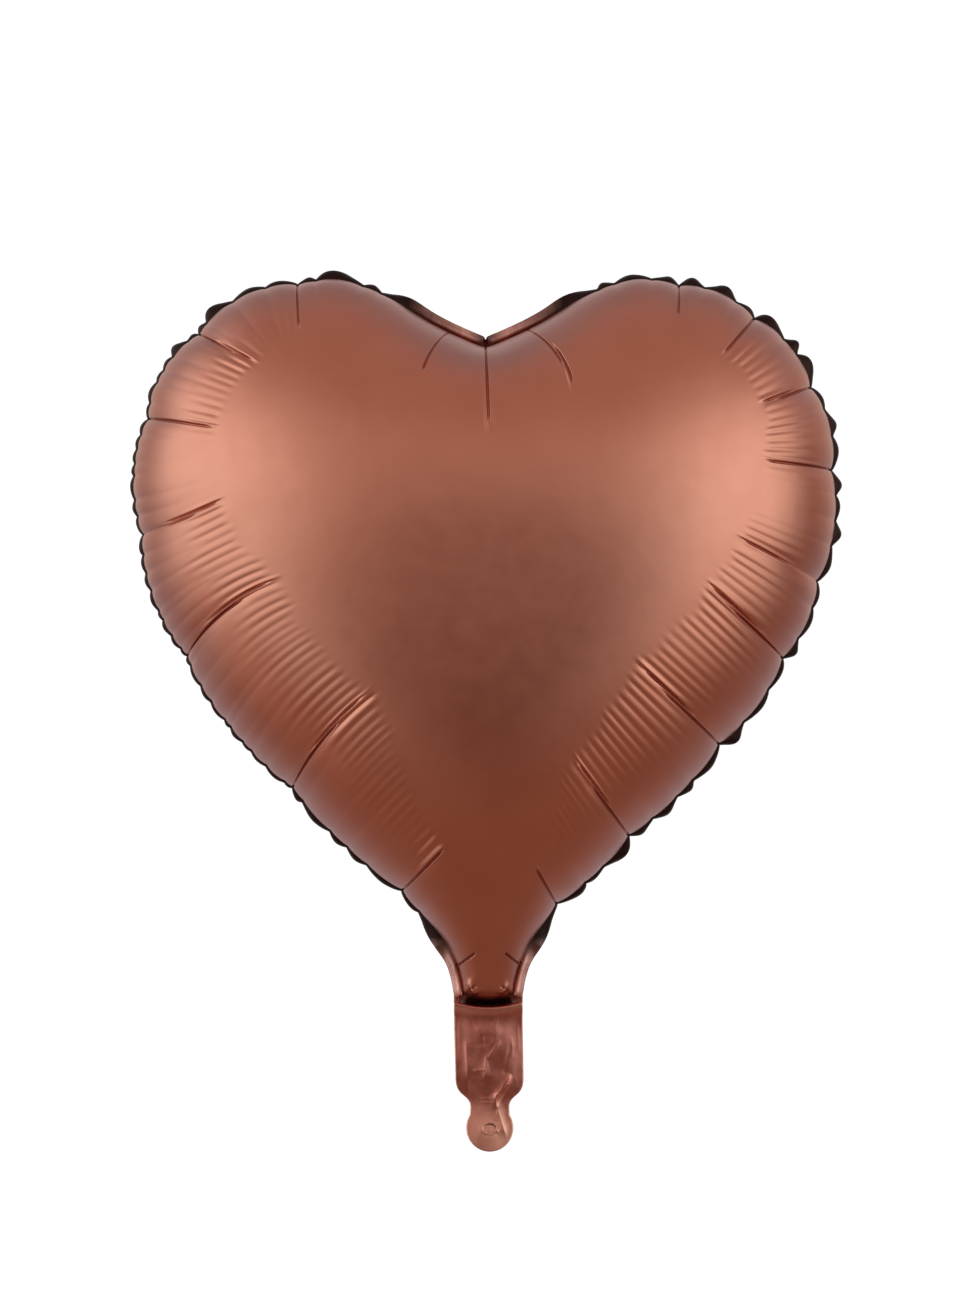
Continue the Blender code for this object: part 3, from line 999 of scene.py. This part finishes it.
def build_envelope():
    front = make_film("front_film", -1, front_creases, 11)
    rear = make_film("rear_film", 1, rear_creases, 12)
    flange = make_flange()
    finish_piece(front, FOIL, "front_panel")
    finish_piece(rear, FOIL, "rear_panel")
    finish_piece(flange, WELD_FOIL, "edge_weld")
    for piece in (front, rear, flange):
        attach(piece, "envelope")


def build_tail():
    pieces = (
        (make_tail_film("tail_front_sheet", -1, 21), TAIL_FOIL, "copper_foil", "tail_front_film"),
        (make_tail_film("tail_rear_sheet", 1, 22), TAIL_FOIL, "copper_foil", "tail_rear_film"),
        (make_tail_weld(), WELD_FOIL, "welded_edge", "tail_weld"),
        (make_valve_sheet("valve_sheet_front", -1), CLEAR, "clear_film", "valve_tube_front"),
        (make_valve_sheet("valve_sheet_rear", 1), CLEAR, "clear_film", "valve_tube_rear"),
    )
    for piece, material, slot, node in pieces:
        finish_piece(piece, material, node)
        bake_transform(piece)
    lips = (
        (make_lip("lip_sheet_front", -1), "valve_lip_front", "front_lip"),
        (make_lip("lip_sheet_rear", 1), "valve_lip_rear", "rear_lip"),
    )
    for lip, node, body in lips:
        finish_piece(lip, CLEAR, node)
        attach(lip, body)


build_envelope()
build_tail()


def direction(azimuth, elevation):
    """A unit vector. Azimuth 0 points at the camera and 90 to its right."""
    a, e = math.radians(azimuth), math.radians(elevation)
    return Vector((math.sin(a) * math.cos(e), -math.cos(a) * math.cos(e), math.sin(e)))


class Sky(Nodes):
    """The studio as the balloon sees it: a dim room with soft-edged boxes of light in it."""

    def __init__(self, world):
        super().__init__(world)
        self.nodes.clear()
        self.place = self.nodes.new("ShaderNodeTexCoord").outputs["Generated"]
        self.total = None

    def along(self, axis):
        """How far each direction points along an axis, from -1 to 1."""
        node = self.nodes.new("ShaderNodeVectorMath")
        node.operation = "DOT_PRODUCT"
        self.links.new(self.place, node.inputs[0])
        node.inputs[1].default_value = axis
        return node.outputs["Value"]

    def ramp(self, value, zero, one):
        """A smooth ramp of a value, 0 at `zero` and 1 at `one`."""
        node = self.nodes.new("ShaderNodeMapRange")
        node.interpolation_type = "SMOOTHERSTEP"
        self.links.new(value, node.inputs["Value"])
        node.inputs["From Min"].default_value = zero
        node.inputs["From Max"].default_value = one
        return node.outputs["Result"]

    def add(self, share, colour, strength):
        """Adds light of one colour, where `share` is more than 0, or everywhere for None."""
        shader = self.nodes.new("ShaderNodeBackground")
        self.feed(shader.inputs["Color"], colour)
        self.feed(shader.inputs["Strength"], strength if share is None else self.times(share, strength))
        if self.total is not None:
            both = self.nodes.new("ShaderNodeAddShader")
            self.links.new(self.total, both.inputs[0])
            self.links.new(shader.outputs[0], both.inputs[1])
            shader = both
        self.total = shader.outputs[0]

    def box(self, azimuth, elevation, roll, wide, high, soft, colour, strength):
        """A soft-edged box of light, its half sizes and the width of its edge in degrees."""
        axis = direction(azimuth, elevation)
        level = axis.cross(Vector((0, 0, 1))).normalized()
        roll = math.radians(roll)
        right = level * math.cos(roll) + level.cross(axis) * math.sin(roll)
        up = right.cross(axis)
        share = self.ramp(self.along(axis), 0.0, 0.15)
        for side, half in ((right, wide), (up, high)):
            far = math.sin(math.radians(min(half + soft, 88)))
            near = math.sin(math.radians(max(half - soft, 0)))
            edge = self.ramp(self.math("ABSOLUTE", self.along(side)), far, near)
            share = self.times(share, edge)
        self.add(share, colour, strength)

    def finish(self, behind):
        """Shows plain white behind the balloon, and lights the balloon with the studio."""
        nodes, links = self.nodes, self.links
        white = nodes.new("ShaderNodeBackground")
        self.feed(white.inputs["Color"], (1, 1, 1))
        self.feed(white.inputs["Strength"], behind)
        mix = nodes.new("ShaderNodeMixShader")
        links.new(nodes.new("ShaderNodeLightPath").outputs["Is Camera Ray"], mix.inputs["Fac"])
        links.new(self.total, mix.inputs[1])
        links.new(white.outputs[0], mix.inputs[2])
        links.new(mix.outputs[0], nodes.new("ShaderNodeOutputWorld").inputs["Surface"])


# The camera looks level at the front, in metres
CAMERA_DISTANCE = 3.0
CAMERA_SIDE = 0.0023
CAMERA_HEIGHT = 0.180264
VIEW_HEIGHT = 0.67858

FLOOR_LEVEL = -0.30
FLOOR_RADIUS = 1.2
FLOOR_SIDES = 128

# The softboxes: azimuth, elevation, roll, half width, half height, soft edge, colour, strength
SOFTBOXES = (
    (-70, 10, 8, 43, 30, 28, (0.78, 1.18, 1.33), 1.63),
    (58, 8, 0, 33, 24, 27, (0.78, 1.18, 1.33), 1.80),
    (-83, -29, 0, 18, 13, 18, (1.05, 0.92, 0.86), 0.23),
    (58, -19, 0, 18, 13, 18, (1.05, 0.92, 0.86), 0.26),
    (-22, 7, 0, 13, 12, 16, (0.90, 1.05, 1.10), 0.34),
    (21, 13, 0, 13, 9, 14, (0.80, 1.15, 1.28), 0.36),
)


def set_light():
    """The studio: a dim warm room, darkest by the camera, pale above and behind, and the softboxes."""
    world = bpy.data.worlds.new("studio")
    scene.world = world
    sky = Sky(world)
    up, back = sky.along((0, 0, 1)), sky.along((0, 1, 0))
    room = (1.0, 0.68, 0.52)
    sky.add(None, room, 0.254)
    by_camera = sky.ramp(sky.along(direction(8, -8)), 0.74, 1.0)
    sky.add(sky.math("SUBTRACT", 1.0, by_camera), room, 0.088)
    sky.add(sky.ramp(up, -0.30, -0.95), (1.0, 0.70, 0.52), 0.07)
    above = sky.times(sky.ramp(up, -0.15, 0.60), sky.ramp(back, 0.95, -0.2))
    sky.add(above, (0.93, 1.0, 1.06), 0.36)
    behind, low = sky.ramp(back, 0.0, 0.9), sky.ramp(up, 0.1, -0.25)
    sky.add(sky.times(behind, low), (0.10, 0.45, 1.00), 0.15)
    not_low = sky.math("SUBTRACT", 1.0, sky.times(low, 0.66))
    pale = sky.times(sky.times(behind, sky.ramp(up, 0.95, 0.1)), not_low)
    sky.add(pale, (1.0, 0.95, 0.92), 0.33)
    for softbox in SOFTBOXES:
        sky.box(*softbox)
    overhead = sky.times(sky.ramp(back, -0.05, 0.40), sky.ramp(up, 0.1, 0.6))
    sky.add(overhead, (0.25, 0.85, 1.40), 0.17)
    sky.finish(1.05)


def set_camera():
    camera = bpy.data.cameras.new("camera")
    obj = bpy.data.objects.new("camera", camera)
    scene.collection.objects.link(obj)
    camera.lens = camera.sensor_width * CAMERA_DISTANCE / VIEW_HEIGHT
    obj.location = (CAMERA_SIDE, -CAMERA_DISTANCE, CAMERA_HEIGHT)
    obj.rotation_euler = (math.pi / 2, 0, 0)
    scene.camera = obj


def lay_floor():
    """A pale disc well under the balloon, which its reflections don't show."""
    turn = np.linspace(0, 2 * math.pi, FLOOR_SIDES, endpoint=False)
    ring = np.insert(circle(turn) * FLOOR_RADIUS, 2, FLOOR_LEVEL, axis=1)
    floor = make_mesh("floor", ring, [tuple(range(FLOOR_SIDES))])
    pale = Finish("floor", metallic=0.0, coat=0.0, coat_roughness=0.03)
    pale.set("Base Color", (0.85, 0.85, 0.85))
    pale.set("Roughness", 0.9)
    floor.data.materials.append(pale.material)
    floor.visible_glossy = False
    floor.visible_diffuse = False


scene.view_settings.view_transform = "Standard"
set_light()
set_camera()
lay_floor()
